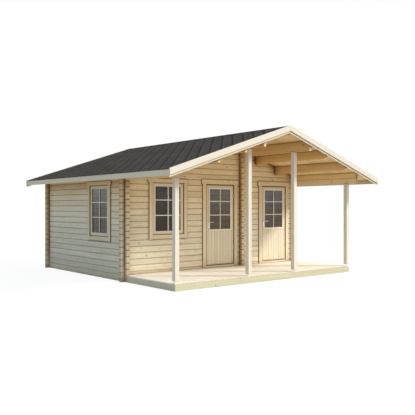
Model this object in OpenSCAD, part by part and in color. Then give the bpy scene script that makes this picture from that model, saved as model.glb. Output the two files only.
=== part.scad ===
// Log-built sauna cabin with two rooms, two outside doors and a roofed veranda.
// Origin: ground level, in the middle of the roof's footprint. +X runs to the right along
// the front, +Y runs from the veranda to the back wall and +Z is up. Millimetres.

/* [Cabin] */
// Width over the outer faces of the side walls
house_w = 5290; // [4600:10:6600]
// Depth over the outer faces of the front and back walls
house_d = 3840; // [3000:10:5400]
// Depth of the veranda in front of the front wall
veranda_d = 1820; // [1400:10:2600]
// Distance of the partition's middle plane from the ridge line
partition_offset = 700; // [690:10:760]

/* [Logs] */
// Thickness of the planed wall logs
log_t = 70; // [56:1:90]
// Height of one log course
log_h = 135; // [120:1:150]
// Full log courses in the side walls below the top beams
side_logs = 16; // [16:1:18]
// Log courses in each top beam
beam_logs = 2; // [2:1:2]
// Length of the log ends beyond the crossing wall
log_end = 90; // [60:5:130]
// Depth of the bevels that make the V joint between two logs
bevel = 8; // [4:1:12]

/* [Roof] */
// Slope of the roof in degrees
roof_angle = 18.25; // [15:0.25:24]
// Reach of the roof beyond the side walls
eave_overhang = 480; // [300:10:600]
// Reach of the roof in front of the veranda deck
front_overhang = 505; // [350:10:700]
// Reach of the roof behind the back wall
back_overhang = 295; // [180:10:500]
// Thickness of the roof boards
roof_board_t = 20; // [16:1:28]
// Thickness of the bitumen roofing
roofing_t = 8; // [4:1:14]
// Width of the purlins and of the ridge beam
purlin_w = 70; // [60:1:90]
// Distance of each purlin from the ridge line
purlin_at = [700, 1233, 1936];
// Height of each purlin on its ridge side
purlin_h = [233, 205, 205];
// Height of the ridge beam
ridge_beam_h = 172; // [150:5:260]
// Gap between the ends of the purlins and the ridge beam and the barge boards
purlin_setback = 25; // [0:1:60]
// Reach of the top beams in front of the veranda deck
beam_reach = 250; // [100:10:300]
// Width of the ridge cap on each side of the ridge
ridge_cap_w = 130; // [90:5:200]
// Thickness of each barge board and fascia board
edge_board_t = 20; // [16:1:28]
// Upright height of the inner barge boards
barge_h = 165; // [140:1:200]
// Upright height of the cover boards in front of them
barge_cover_h = 118; // [90:1:135]
// Height of the barge boards' upper edge above the roofing
barge_lip = 8; // [0:1:15]
// Height of the eave fascias
fascia_h = 112; // [90:1:150]

/* [Veranda and floor] */
// Width of the square veranda posts
post_w = 95; // [80:1:120]
// Distance of the gable posts' middles from the ridge line
gable_post_x = 700; // [660:5:720]
// Height of the posts' adjustable steel feet
post_foot_h = 45; // [30:1:80]
// Height of the joists under the deck and the floors
joist_h = 117; // [95:1:145]
// Width of the joists
joist_w = 48; // [40:1:60]
// Thickness of the deck boards and floor boards
floor_t = 28; // [20:1:35]
// Largest distance between the joists' middles
joist_gap = 600; // [400:10:700]
// Thickness of the boards around the deck
deck_edge_t = 28; // [20:1:35]

/* [Windows] */
// Width of a window sash
sash_w = 840; // [700:5:900]
// Height of a window sash
sash_h = 1140; // [900:5:1200]
// Thickness of a window sash
sash_t = 45; // [40:1:50]
// Width of the sash's stiles and rails
sash_rail = 65; // [60:1:100]
// Distance of the front window's middle from the left wall's outer face
front_window_x = 1140; // [1000:5:1250]
// Distance of the left window's middle from the front wall's outer face
left_window_y = 1098; // [900:2:1400]
// Distance of the left window's head below the front window's head
left_window_drop = 50; // [0:5:70]

/* [Doors] */
// Width of a door leaf
leaf_w = 860; // [710:5:1040]
// Height of a door leaf
leaf_h = 1925; // [1850:5:1925]
// Thickness of a door leaf
leaf_t = 42; // [36:1:44]
// Height of the door sills' upper side above the ground
sill_top = 194; // [190:1:205]
// Gap between the left door's head board and the partition's log ends
left_door_gap = 57; // [5:1:120]
// Gap between the right door's head board and the right wall's log ends
right_door_gap = 127; // [5:1:200]
// Width of a leaf's stiles beside the glass
leaf_stile = 98; // [80:1:140]
// Height of a leaf's top rail above the glass
leaf_top_rail = 95; // [80:1:140]
// Height of the glass opening in a leaf
leaf_glass_h = 978; // [800:1:1000]
// Height of the lever above the leaf's lower edge
lever_z = 1028; // [950:1:1060]
// Distance of the lever's neck from the leaf's edge
backset = 50; // [45:1:60]
// Height of each hinge's middle above the leaf's lower edge
hinge_z = [415, 1655];
// Radius of the hinge knuckles
knuckle_r = 6.5; // [5.5:0.5:7]
// Height of one hinge
hinge_h = 90; // [60:2:120]

/* [Frames and trim] */
// Thickness of the window and door frames
frame_t = 40; // [30:1:45]
// Distance of the frames' faces behind the wall's outer face
frame_recess = 15; // [0:1:20]
// Gap between a leaf or sash and its frame
leaf_gap = 6; // [5:0.5:8]
// Width of the trim boards around the doors
trim_w = 106; // [80:1:120]
// Width of the trim boards around the windows
window_trim_w = 88; // [75:1:120]
// Thickness of the trim boards
trim_t = 20; // [16:1:25]
// Gap between a leaf or sash and the trim
trim_gap = 12; // [10:1:16]
// Overhang of a head board beyond the side boards
head_over = 30; // [0:5:50]
// Glass thickness in a pane, its two sheets taken together
glass_t = 8; // [6:1:16]

/* [Hidden] */
$fn = 32;

// Colours
pine = [0.80, 0.65, 0.45];
pale_pine = [0.87, 0.77, 0.60];
cream = [0.93, 0.88, 0.78];
treated = [0.80, 0.77, 0.55];
felt = [0.20, 0.19, 0.19];
steel = [0.75, 0.76, 0.78];
glass = [0.35, 0.36, 0.36, 0.6];

// Small working values
joint = 0.5;      // open joint between boards that butt
past = 5;         // how far a cutter runs past the piece it cuts
floor_gap = 5;    // room for the boards to swell beside a wall
stop_w = 12;      // cover of a frame's stop over a leaf or sash
stop_gap = 5;     // room between a leaf and its stop
seat_gap = 0.3;   // unevenness between a sloping layer and what it lies on
sill_h = 44;      // height of the door sills
side_drop = 10;   // reach of a window's side boards below its lower board
foot_plate = 80;  // width of the square plates of a post's foot
foot_t = 5;       // thickness of those plates
foot_rod_r = 10;  // radius of the screw between them

// Main planes
hw = house_w / 2;
roof_hw = hw + eave_overhang;
depth = front_overhang + veranda_d + house_d + back_overhang;
roof_front = -depth / 2;
roof_back = depth / 2;
deck_front = roof_front + front_overhang;
wall_front = deck_front + veranda_d;
wall_back = wall_front + house_d;
inner_front = wall_front + log_t;
inner_back = wall_back - log_t;
partition_x = partition_offset - log_t / 2;
right_wall_x = hw - log_t;
edge_front = roof_front + 2 * edge_board_t;
edge_back = roof_back - 2 * edge_board_t;
purlin_front = edge_front + purlin_setback;
purlin_back = edge_back - purlin_setback;

// Heights
slope = tan(roof_angle);
beam_z = side_logs * log_h;
plate_z = beam_z + beam_logs * log_h;
end_top = min(plate_z - log_h / 2, under_z(hw + log_end));
apex_z = under_z(0);
boards_up = roof_board_t / cos(roof_angle);
roofing_up = roofing_t / cos(roof_angle);
floor_z = joist_h + floor_t;
leaf_z = sill_top + leaf_gap;
head_z = leaf_z + leaf_h + leaf_gap + frame_t;
sill_z = sill_top - sill_h;
sash_z = leaf_z + leaf_h - sash_h;
partition_top = purlin_z(0);

// Places along the front
head_half = leaf_w / 2 + trim_gap + trim_w + head_over;
left_door_x = partition_x - left_door_gap - head_half;
right_door_x = right_wall_x - right_door_gap - head_half;
door_half = leaf_w / 2 + leaf_gap + frame_t;
window_half = sash_w / 2 + leaf_gap + frame_t;
pin_out = 4.5;
plate_t = 2;
hinge_x = leaf_w / 2 + pin_out;
hinge_y = -knuckle_r - plate_t;
pin_r = 3;
pin_gap = 0.08;
knuckle_gap = 0.3;
plate_reach = 40;

// Height of the roof boards' underside at a distance from the ridge line
function under_z(x) = plate_z + slope * (hw - log_t - abs(x));
// Height of one purlin's underside
function purlin_z(i) = under_z(purlin_at[i] - purlin_w / 2) - purlin_h[i];

// Section of a log wall: V joints at (n + shift) log heights, cut off level at z0 and z1
module log_section(z0, z1, shift) {
    first = floor(z0 / log_h - shift);
    last = ceil(z1 / log_h - shift);
    heights = [for (n = [first:last]) (n + shift) * log_h];
    outline = concat(
        [for (z = heights) each [[log_t, z - bevel], [log_t - bevel, z], [log_t, z + bevel]]],
        [for (i = [len(heights) - 1:-1:0]) let (z = heights[i])
            each [[0, z + bevel], [bevel, z], [0, z - bevel]]]);
    intersection() {
        polygon(outline);
        translate([-past, z0]) square([log_t + 2 * past, z1 - z0]);
    }
}

// Wall whose logs run along Y; its logs meet at whole log heights
module wall_along_y(x, y0, y1, z0, z1) {
    translate([x, y1, 0]) rotate([90, 0, 0]) linear_extrude(y1 - y0) log_section(z0, z1, 0);
}

// Wall whose logs run along X; its logs meet half a log higher
module wall_along_x(y, x0, x1, z0, z1) {
    translate([x0, y, 0]) rotate([90, 0, 90]) linear_extrude(x1 - x0) log_section(z0, z1, 0.5);
}

// What the crossing logs leave in a corner: half of each log's height, over the corner's square
module corner_halves(x, y, shift, top, over_x, over_y) {
    for (n = [-1:ceil(top / log_h)]) {
        z0 = max((n + shift + 0.25) * log_h, shift > 0 && n < 0 ? -past : 0);
        z1 = min((n + shift + 0.75) * log_h, top);
        if (z1 > z0 && z1 > 0)
            translate([x - over_x, y - over_y, z0])
                cube([log_t + 2 * over_x, log_t + 2 * over_y, z1 - z0]);
    }
}

// Notches in a wall along Y where the front and back walls' logs pass through
module notches_for_cross_walls(x, top) {
    for (y = [wall_front, inner_back]) corner_halves(x, y, 0.5, top, past, 0);
}

// Notches in a wall along X where the side walls' and the partition's logs pass through
module notches_for_side_walls(y) {
    for (x = [-hw, right_wall_x]) corner_halves(x, y, 0, plate_z, 0, past);
    corner_halves(partition_x, y, 0, partition_top, 0, past);
}

// Bar along Y with an outline in the XZ plane
module bar_along_y(y0, y1) {
    translate([0, y1, 0]) rotate([90, 0, 0]) linear_extrude(y1 - y0) children();
}

// Both the piece and its mirror image over the ridge line
module both_sides() {
    children();
    mirror([1, 0, 0]) children();
}

// Everything below the roof boards
module under_roof() {
    bar_along_y(roof_front, roof_back)
        polygon([[-roof_hw, 0], [roof_hw, 0], [roof_hw, under_z(roof_hw)], [0, apex_z],
            [-roof_hw, under_z(roof_hw)]]);
}

// ---------- Log walls ----------

module side_wall(x) {
    difference() {
        wall_along_y(x, wall_front - log_end, wall_back + log_end, 0, beam_z);
        notches_for_cross_walls(x, end_top);
    }
}

module left_wall() {
    color(pine) difference() {
        side_wall(-hw);
        on_left_wall() window_hole();
    }
}

module right_wall() {
    color(pine) side_wall(right_wall_x);
}

module partition_wall() {
    color(pine) difference() {
        wall_along_y(partition_x, wall_front - log_end, wall_back + log_end, 0, partition_top);
        notches_for_cross_walls(partition_x, partition_top);
    }
}

// Outline of a gable wall: log ends stop below the eaves, the top follows the roof
module gable_outline() {
    bar_along_y(wall_front - past, wall_back + past)
        polygon([[-hw - log_end, 0], [hw + log_end, 0], [hw + log_end, end_top],
            [hw - log_t, end_top], [hw - log_t, plate_z], [0, apex_z], [log_t - hw, plate_z],
            [log_t - hw, end_top], [-hw - log_end, end_top]]);
}

// Part of the front or back wall between two sides and two heights
module cross_wall(y, x0, x1, z0, z1) {
    difference() {
        intersection() {
            wall_along_x(y, x0, x1, z0, z1);
            gable_outline();
        }
        notches_for_side_walls(y);
        purlin_set(past);
        ridge_bar(past);
    }
}

module back_wall() {
    color(pine) cross_wall(inner_back, -hw - log_end, hw + log_end, 0, apex_z);
}

module front_wall_base() {
    color(pine) cross_wall(wall_front, -hw - log_end, hw + log_end, 0, sill_z);
}

module front_wall_left() {
    color(pine) difference() {
        cross_wall(wall_front, -hw - log_end, left_door_x - door_half, sill_z, head_z);
        on_front_window() window_hole();
    }
}

module front_wall_middle() {
    color(pine)
        cross_wall(wall_front, left_door_x + door_half, right_door_x - door_half, sill_z, head_z);
}

module front_wall_right() {
    color(pine) cross_wall(wall_front, right_door_x + door_half, hw + log_end, sill_z, head_z);
}

module front_gable() {
    color(pine) cross_wall(wall_front, -hw - log_end, hw + log_end, head_z, apex_z);
}

// The top logs of the side walls, which run on over the veranda's corner posts
module side_beams() {
    color(pine) both_sides() difference() {
        intersection() {
            wall_along_y(-hw, deck_front - beam_reach, wall_back + log_end, beam_z, plate_z);
            under_roof();
        }
        notches_for_cross_walls(-hw, end_top);
    }
}

// ---------- Floors and veranda ----------

// Joists along X, spread evenly between two lines
module joists(x0, x1, y0, y1) {
    count = ceil((y1 - y0 - joist_w) / joist_gap);
    step = (y1 - y0 - joist_w) / count;
    for (i = [0:count]) translate([x0, y0 + i * step, 0]) cube([x1 - x0, joist_w, joist_h]);
}

module floor_joists() {
    color(treated) {
        joists(log_t - hw + floor_gap, partition_x - floor_gap, inner_front + floor_gap,
            inner_back - floor_gap);
        joists(partition_x + log_t + floor_gap, right_wall_x - floor_gap,
            inner_front + floor_gap, inner_back - floor_gap);
    }
}

module floor_slab(x0, x1) {
    translate([x0 + floor_gap, inner_front + floor_gap, joist_h])
        cube([x1 - x0 - 2 * floor_gap, house_d - 2 * log_t - 2 * floor_gap, floor_t]);
}

module room_floors() {
    color(pale_pine) {
        floor_slab(log_t - hw, partition_x);
        floor_slab(partition_x + log_t, right_wall_x);
    }
}

module deck_joists() {
    color(treated)
        joists(deck_edge_t - hw, hw - deck_edge_t, deck_front + deck_edge_t,
            wall_front - log_end - floor_gap);
}

module deck_boards() {
    color(cream) difference() {
        translate([-hw, deck_front, joist_h])
            cube([house_w, veranda_d - floor_gap, floor_t]);
        for (x = [-hw, partition_x, right_wall_x])
            translate([x - floor_gap, wall_front - log_end - floor_gap, joist_h - past])
                cube([log_t + 2 * floor_gap, log_end + past, floor_t + 2 * past]);
    }
}

module deck_edge_boards() {
    color(treated) {
        translate([-hw, deck_front, 0]) cube([house_w, deck_edge_t - joint, joist_h]);
        both_sides() translate([-hw, deck_front + deck_edge_t, 0])
            cube([deck_edge_t - joint, veranda_d - deck_edge_t - log_end - floor_gap, joist_h]);
    }
}

// Post from its left front corner, on the adjustable foot that it stands on
module veranda_post(x, top) {
    plates = [floor_z, floor_z + post_foot_h - foot_t];
    translate([x, deck_front, floor_z + post_foot_h])
        cube([post_w, post_w, top - floor_z - post_foot_h]);
    translate([x + post_w / 2, deck_front + post_w / 2, 0]) {
        for (z = plates) translate([-foot_plate / 2, -foot_plate / 2, z])
            cube([foot_plate, foot_plate, foot_t]);
        translate([0, 0, floor_z]) cylinder(r = foot_rod_r, h = post_foot_h);
    }
}

module veranda_posts() {
    color(cream) both_sides() {
        veranda_post(-hw, beam_z);
        veranda_post(-gable_post_x - post_w / 2, partition_top);
    }
}

// ---------- Roof ----------

// Purlins with tops that follow the roof; extra height lets the set cut its own notches
module purlin_set(extra = 0) {
    both_sides() for (i = [0:len(purlin_at) - 1]) {
        x0 = purlin_at[i] - purlin_w / 2;
        x1 = purlin_at[i] + purlin_w / 2;
        bar_along_y(purlin_front, purlin_back)
            polygon([[x0, purlin_z(i)], [x1, purlin_z(i)], [x1, under_z(x1) + extra],
                [x0, under_z(x0) + extra]]);
    }
}

module ridge_bar(extra = 0) {
    half = purlin_w / 2;
    bar_along_y(purlin_front, purlin_back)
        polygon([[-half, apex_z - ridge_beam_h], [half, apex_z - ridge_beam_h],
            [half, under_z(half) + extra], [0, apex_z + extra], [-half, under_z(half) + extra]]);
}

module purlins() {
    color(pine) purlin_set();
}

module ridge_beam() {
    color(pine) ridge_bar();
}

// Layer that follows the slope between two distances from the ridge line
module slope_layer(x0, x1, up0, up1, y0, y1) {
    both_sides() bar_along_y(y0, y1)
        polygon([[x0, under_z(x0) + up0], [x1, under_z(x1) + up0], [x1, under_z(x1) + up1],
            [x0, under_z(x0) + up1]]);
}

module roof_boards() {
    color(pale_pine)
        slope_layer(joint, roof_hw - edge_board_t, seat_gap, boards_up, edge_front, edge_back);
}

module roofing() {
    color(felt)
        slope_layer(joint, roof_hw + past, boards_up + seat_gap, boards_up + roofing_up,
            edge_front, edge_back);
}

module ridge_cap() {
    low = boards_up + roofing_up + seat_gap;
    high = low + roofing_up / 2;
    color(felt) bar_along_y(edge_front, edge_back)
        polygon([[-ridge_cap_w, under_z(ridge_cap_w) + low], [0, apex_z + low],
            [ridge_cap_w, under_z(ridge_cap_w) + low], [ridge_cap_w, under_z(ridge_cap_w) + high],
            [0, apex_z + high], [-ridge_cap_w, under_z(ridge_cap_w) + high]]);
}

module eave_fascias() {
    x0 = roof_hw - edge_board_t;
    low = under_z(roof_hw) + boards_up - fascia_h;
    color(cream) both_sides() bar_along_y(edge_front, edge_back)
        polygon([[x0, low], [roof_hw, low], [roof_hw, under_z(roof_hw) + boards_up],
            [x0, under_z(x0) + boards_up]]);
}

// Board along the gable's edge, hung down from above the roofing
module gable_edge(height, y) {
    top = boards_up + roofing_up + barge_lip;
    slope_layer(joint, roof_hw, top - height, top, y, y + edge_board_t);
}

module barge_boards() {
    color(cream) {
        gable_edge(barge_h, roof_front + edge_board_t);
        gable_edge(barge_h, edge_back);
    }
}

module barge_covers() {
    color(cream) {
        gable_edge(barge_cover_h, roof_front);
        gable_edge(barge_cover_h, roof_back - edge_board_t);
    }
}

// ---------- Windows ----------
// Made facing -Y: X = 0 at the sash's middle, Y = 0 at the wall's outer face, Z = 0 at its foot

module on_front_window() {
    translate([front_window_x - hw, wall_front, sash_z]) children();
}

module on_left_wall() {
    translate([-hw, wall_front + left_window_y, sash_z - left_window_drop])
        rotate([0, 0, -90]) children();
}

module window_hole() {
    hole = leaf_gap + frame_t;
    translate([-window_half, -past, -hole])
        cube([2 * window_half, log_t + 2 * past, sash_h + 2 * hole]);
}

// Upright ring in the XZ plane between two rectangles, from y0 to y1
module ring(half, low, high, in_half, in_low, in_high, y0, y1) {
    difference() {
        translate([-half, y0, low]) cube([2 * half, y1 - y0, high - low]);
        translate([-in_half, y0 - past, in_low])
            cube([2 * in_half, y1 - y0 + 2 * past, in_high - in_low]);
    }
}

module window_frame() {
    out = leaf_gap + frame_t;
    ring(window_half, -out, sash_h + out, sash_w / 2 + leaf_gap, -leaf_gap, sash_h + leaf_gap,
        frame_recess, sash_t);
    ring(window_half, -out, sash_h + out, sash_w / 2 - stop_w, stop_w, sash_h - stop_w,
        sash_t, log_t);
}

module window_sash() {
    half = sash_w / 2;
    ring(half, 0, sash_h, half - sash_rail, sash_rail, sash_h - sash_rail, 0, sash_t);
}

module window_glass() {
    half = sash_w / 2 - sash_rail;
    translate([-half, (sash_t - glass_t) / 2, sash_rail])
        cube([2 * half, glass_t, sash_h - 2 * sash_rail]);
}

// Head board over two side boards that start at z0; y is the boards' first face
module trim_boards(half, z0, z1, y, w) {
    translate([-half - w - head_over, y, z1])
        cube([2 * (half + w + head_over), trim_t, w]);
    for (x = [-half - w, half])
        translate([x, y, z0]) cube([w, trim_t, z1 - z0 - joint]);
}

module window_trim() {
    half = sash_w / 2 + trim_gap;
    for (y = [-trim_t, log_t]) {
        trim_boards(half, -trim_gap - window_trim_w - side_drop, sash_h + trim_gap, y, window_trim_w);
        translate([-half + joint, y, -trim_gap - window_trim_w])
            cube([2 * (half - joint), trim_t, window_trim_w]);
    }
}

// ---------- Doors ----------
// Made facing -Y: X = 0 at the leaf's middle, Y = 0 at the wall's outer face, Z = 0 at its foot

module on_left_door() {
    translate([left_door_x, wall_front, leaf_z]) children();
}

module on_right_door() {
    translate([right_door_x, wall_front, leaf_z]) children();
}

// Jambs, head and sill, each with the stop that the leaf closes against
module door_frame() {
    half = leaf_w / 2;
    stop_y = leaf_t + stop_gap;
    low = sill_z - leaf_z;
    high = leaf_h + leaf_gap + frame_t;
    for (side = [-1, 1]) {
        x0 = side * (half + leaf_gap);
        x1 = side * (half + leaf_gap + frame_t);
        x2 = side * (half - stop_w);
        translate([min(x0, x1), frame_recess, low])
            cube([frame_t, log_t - frame_recess, high - low]);
        translate([min(x2, x1), stop_y, low])
            cube([abs(x1 - x2), log_t - stop_y, high - low]);
    }
    inner = half + leaf_gap - joint;
    stop_inner = half - stop_w - joint;
    translate([-inner, frame_recess, leaf_h + leaf_gap])
        cube([2 * inner, stop_y - frame_recess - joint, frame_t]);
    translate([-stop_inner, stop_y - joint, leaf_h - stop_w])
        cube([2 * stop_inner, log_t - stop_y + joint, frame_t + leaf_gap + stop_w]);
    translate([-inner, -trim_t, low])
        cube([2 * inner, stop_y + trim_t - joint, sill_top - sill_z]);
    translate([-stop_inner, stop_y - joint, low])
        cube([2 * stop_inner, log_t - stop_y + joint, sill_top - sill_z + leaf_gap + stop_w]);
}

module hinge_notches() {
    for (z = hinge_z)
        translate([leaf_w / 2, -trim_t - past, z - hinge_h / 2 - past])
            cube([2 * knuckle_r + 6, trim_t + past, hinge_h + 2 * past]);
}

module door_trim() {
    half = leaf_w / 2 + trim_gap;
    difference() {
        trim_boards(half, floor_z - leaf_z, leaf_h + trim_gap, -trim_t, trim_w);
        hinge_notches();
    }
    trim_boards(half, floor_z - leaf_z, leaf_h + trim_gap, log_t, trim_w);
}

// Block that fills the glass opening between two depths
module leaf_glazing(y0, y1) {
    half = leaf_w / 2 - leaf_stile;
    translate([-half, y0, leaf_h - leaf_top_rail - leaf_glass_h])
        cube([2 * half, y1 - y0, leaf_glass_h]);
}

module door_leaf() {
    difference() {
        translate([-leaf_w / 2, 0, 0]) cube([leaf_w, leaf_t, leaf_h]);
        leaf_glazing(-past, leaf_t + past);
    }
}

module door_glass() {
    leaf_glazing((leaf_t - glass_t) / 2, (leaf_t + glass_t) / 2);
}

// Long plate, neck and lever on one face of the leaf, pointing towards the hinges
module lever_set() {
    plate = [38, 4, 190];
    plate_above = 45;
    neck_r = 9;
    lever_r = 8;
    neck = 48;
    reach = 140;
    lever_x = backset - leaf_w / 2;
    translate([lever_x - plate[0] / 2, -plate[1], lever_z + plate_above - plate[2]]) cube(plate);
    translate([lever_x, 0, lever_z]) rotate([90, 0, 0]) cylinder(r = neck_r, h = neck);
    translate([lever_x, -neck, lever_z]) rotate([0, 90, 0]) cylinder(r = lever_r, h = reach);
    translate([lever_x, -neck, lever_z]) sphere(r = neck_r);
}

module door_handle() {
    lever_set();
    translate([0, leaf_t, 0]) mirror([0, 1, 0]) lever_set();
}

// Upper knuckles with their plates on the leaf's edge
module door_hinges() {
    for (z = hinge_z) difference() {
        union() {
            translate([hinge_x, hinge_y, z + knuckle_gap])
                cylinder(r = knuckle_r, h = hinge_h / 2 - knuckle_gap);
            translate([leaf_w / 2, hinge_y, z + knuckle_gap])
                cube([plate_t, plate_reach, hinge_h / 2 - knuckle_gap]);
        }
        translate([hinge_x, hinge_y, z - past])
            cylinder(r = pin_r + pin_gap, h = hinge_h / 2 - past);
    }
}

// Lower knuckles with their pins and their plates on the jamb
module fixed_hinges() {
    for (z = hinge_z) {
        translate([hinge_x, hinge_y, z - hinge_h / 2]) cylinder(r = knuckle_r, h = hinge_h / 2);
        translate([hinge_x, hinge_y, z - hinge_h / 2])
            cylinder(r = pin_r, h = hinge_h - 3 * past);
        translate([leaf_w / 2 + leaf_gap - plate_t, hinge_y, z - hinge_h / 2])
            cube([plate_t, plate_reach, hinge_h / 2]);
    }
}

module hinge_pins() {
    color(steel) {
        on_left_door() fixed_hinges();
        on_right_door() fixed_hinges();
    }
}

left_wall();
right_wall();
back_wall();
partition_wall();
front_wall_base();
front_wall_left();
front_wall_middle();
front_wall_right();
front_gable();
side_beams();
floor_joists();
room_floors();
deck_joists();
deck_boards();
deck_edge_boards();
veranda_posts();
ridge_beam();
purlins();
roof_boards();
roofing();
ridge_cap();
eave_fascias();
barge_boards();
barge_covers();
color(pale_pine) on_front_window() window_frame();  // front_window_frame
color(pale_pine) on_front_window() window_trim();  // front_window_trim
color(cream) on_front_window() window_sash();  // front_window_sash
color(glass) on_front_window() window_glass();  // front_window_glass
color(pale_pine) on_left_wall() window_frame();  // left_window_frame
color(pale_pine) on_left_wall() window_trim();  // left_window_trim
color(cream) on_left_wall() window_sash();  // left_window_sash
color(glass) on_left_wall() window_glass();  // left_window_glass
color(pale_pine) on_left_door() door_frame();  // left_door_frame
color(pale_pine) on_left_door() door_trim();  // left_door_trim
color(cream) on_left_door() door_leaf();  // left_door_leaf
color(glass) on_left_door() door_glass();  // left_door_glass
color(steel) on_left_door() door_handle();  // left_door_handle
color(steel) on_left_door() door_hinges();  // left_door_hinges
color(pale_pine) on_right_door() door_frame();  // right_door_frame
color(pale_pine) on_right_door() door_trim();  // right_door_trim
color(cream) on_right_door() door_leaf();  // right_door_leaf
color(glass) on_right_door() door_glass();  // right_door_glass
color(steel) on_right_door() door_handle();  // right_door_handle
color(steel) on_right_door() door_hinges();  // right_door_hinges
hinge_pins();
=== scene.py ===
"""Finishes a log-built sauna cabin: its timber, roofing, glazing and fittings, in building order."""
import math
import random
from contextlib import contextmanager

import bmesh
import bpy
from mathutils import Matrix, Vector


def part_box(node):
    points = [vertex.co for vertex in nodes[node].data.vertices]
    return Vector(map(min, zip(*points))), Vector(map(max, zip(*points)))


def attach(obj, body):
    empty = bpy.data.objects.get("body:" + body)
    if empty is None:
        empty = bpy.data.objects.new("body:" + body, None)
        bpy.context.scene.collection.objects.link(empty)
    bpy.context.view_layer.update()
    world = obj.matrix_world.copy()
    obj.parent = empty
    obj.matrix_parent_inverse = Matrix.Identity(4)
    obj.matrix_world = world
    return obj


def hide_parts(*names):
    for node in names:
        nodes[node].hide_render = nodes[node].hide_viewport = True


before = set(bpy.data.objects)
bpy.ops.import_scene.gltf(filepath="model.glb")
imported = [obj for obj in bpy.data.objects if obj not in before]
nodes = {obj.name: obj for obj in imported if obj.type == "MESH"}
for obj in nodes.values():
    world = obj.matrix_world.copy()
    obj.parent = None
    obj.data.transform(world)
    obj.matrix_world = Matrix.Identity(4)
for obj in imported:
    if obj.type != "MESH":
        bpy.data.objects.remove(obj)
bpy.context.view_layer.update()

# Ground timbers. The joists under the rooms and the veranda and the boards around the deck are sawn pine,
# pressure treated to a pale yellow green; the deck's side boards, which stand in shade, get a paler copy of
# it, which is painted light.
# They lie straight on the ground, between the bottom logs.
BOARD_EDGE = 0.002
BEAM_EDGE = 0.003
SAME_PLACE = 0.00002
SAME_PLANE = math.radians(0.5)
SHARP = math.radians(30)
NEARLY_SQUARE = 0.1
NEARLY_ALONG = 0.9
WOOD_GLOSS = 0.25
WOOD_ROUGHNESS = 0.66
GRAIN_STRENGTH = 0.25
BOARD_RELIEF = 0.0006
LOT_SHIFT = 93.0
KNOT_CELL = 0.34
KNOT_R = 0.005
KNOT_R_MORE = 0.008
KNOT_EDGE = (1.15, 0.85)
KNOT_HALO = (4.5, 1.0)
KNOT_RIM_FROM = (0.55, 0.95)
KNOT_SHARE = 0.8
KNOT_RISE = 0.4
KNOT_BROWN = (0.30, 0.16, 0.07, 1)
KNOT_RIM = (0.12, 0.06, 0.03, 1)
RING_W = 0.0042
PITH_ASIDE = 0.09
PITH_DEEP = 0.015
PITH_DEEP_MORE = 0.05
RING_WANDER = 0.05
RING_BULGE = 0.012
RING_STRETCH = (0.9, 1.0, 1.0)
LATE_SHARE = 0.34
LATE_SHARPNESS = 2.5
LATE_RISE = 0.5
LATE_ROUGHNESS = -0.1
STREAK_STRETCH = (0.8, 26.0, 26.0)
STREAK_EDGE = (0.38, 0.68)
STREAK_SHARE = 0.42
FIBRE_STRETCH = (9.0, 520.0, 520.0)
FIBRE_SHARE = 0.35
FIBRE_RISE = 0.6
HALO_SHARE = 0.25
WARMTH_SPREAD = 0.24
# Painted light and shade on wood: a deeper orange tone high up stands for warm bounce light, a brown tone for
# shade close under an eave, and ambient occlusion darkens crevices, inner corners and gaps as painted shade,
# less near the ground.
WARM_BOUNCE_TONE = (1.0, 0.88, 0.66, 1)
WARM_BOUNCE_HEIGHTS = (0.8, 2.7)
EAVE_SHADE_TONE = (0.68, 0.50, 0.33, 1)
EAVE_SHADE_HEIGHTS = (1.88, 2.25)
FOOT_HEIGHTS = (0.05, 0.5)
FOOT_SHADE_SHARE = 0.25
CREVICE_SHADE_TONE = (0.24, 0.12, 0.05, 1)
CREVICE_REACH = 0.05
CREVICE_OPEN = (0.96, 0.55)
CREVICE_SHARE = 0.9
CORNER_SHADE_TONE = (0.48, 0.31, 0.16, 1)
CORNER_REACH = 0.30
CORNER_OPEN = (0.92, 0.45)
CORNER_SHARE = 0.85
GAP_SHADE_TONE = (0.32, 0.20, 0.11, 1)
GAP_OPEN = (0.45, 0.15)
END_SHARE = 0.85


def pick(*pieces):
    """Leaves only these pieces selected, the first one active."""
    bpy.ops.object.select_all(action="DESELECT")
    for piece in pieces:
        piece.select_set(True)
    bpy.context.view_layer.objects.active = pieces[0]


@contextmanager
def edit_mode(piece, action="SELECT"):
    """Edit mode on one piece, with all or, by DESELECT, nothing of it selected."""
    pick(piece)
    bpy.ops.object.mode_set(mode="EDIT")
    bpy.ops.mesh.select_all(action=action)
    yield
    bpy.ops.object.mode_set(mode="OBJECT")


def apply_modifier(piece, kind, **settings):
    """Adds one modifier with its settings and applies it."""
    pick(piece)
    modifier = piece.modifiers.new("work", kind)
    for name, value in settings.items():
        setattr(modifier, name, value)
    bpy.ops.object.modifier_apply(modifier=modifier.name)


def eased(piece, width, segments=2):
    """Rounds the sharp edges by that width, as a planer does."""
    apply_modifier(piece, "BEVEL", width=width, segments=segments, limit_method="ANGLE",
        angle_limit=SHARP, harden_normals=False)
    return piece


def unmarked(piece):
    """Takes off the marks that a copy still carries of the object that it was made from."""
    for key in [k for k in piece.keys() if k.startswith("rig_")]:
        del piece[key]
    return piece


def copy_of(node, name):
    """A copy of a CAD node with its loose triangles merged into whole faces."""
    pick(nodes[node])
    bpy.ops.object.duplicate()
    piece = unmarked(bpy.context.object)
    piece.parent = None
    piece.name = name
    if piece.data.has_custom_normals:
        bpy.ops.mesh.customdata_custom_splitnormals_clear()
    with edit_mode(piece):
        bpy.ops.mesh.remove_doubles(threshold=SAME_PLACE)
        bpy.ops.mesh.dissolve_limited(angle_limit=SAME_PLANE)
    bpy.ops.object.shade_flat()
    return piece


def boards_in(mesh):
    """The groups of faces that hang together, one for each board, always in the same order."""
    found = set()
    for first in mesh.faces:
        if first in found:
            continue
        found.add(first)
        group, ahead = [], [first]
        while ahead:
            face = ahead.pop()
            group.append(face)
            for edge in face.edges:
                for other in edge.link_faces:
                    if other not in found:
                        found.add(other)
                        ahead.append(other)
        yield group


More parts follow.
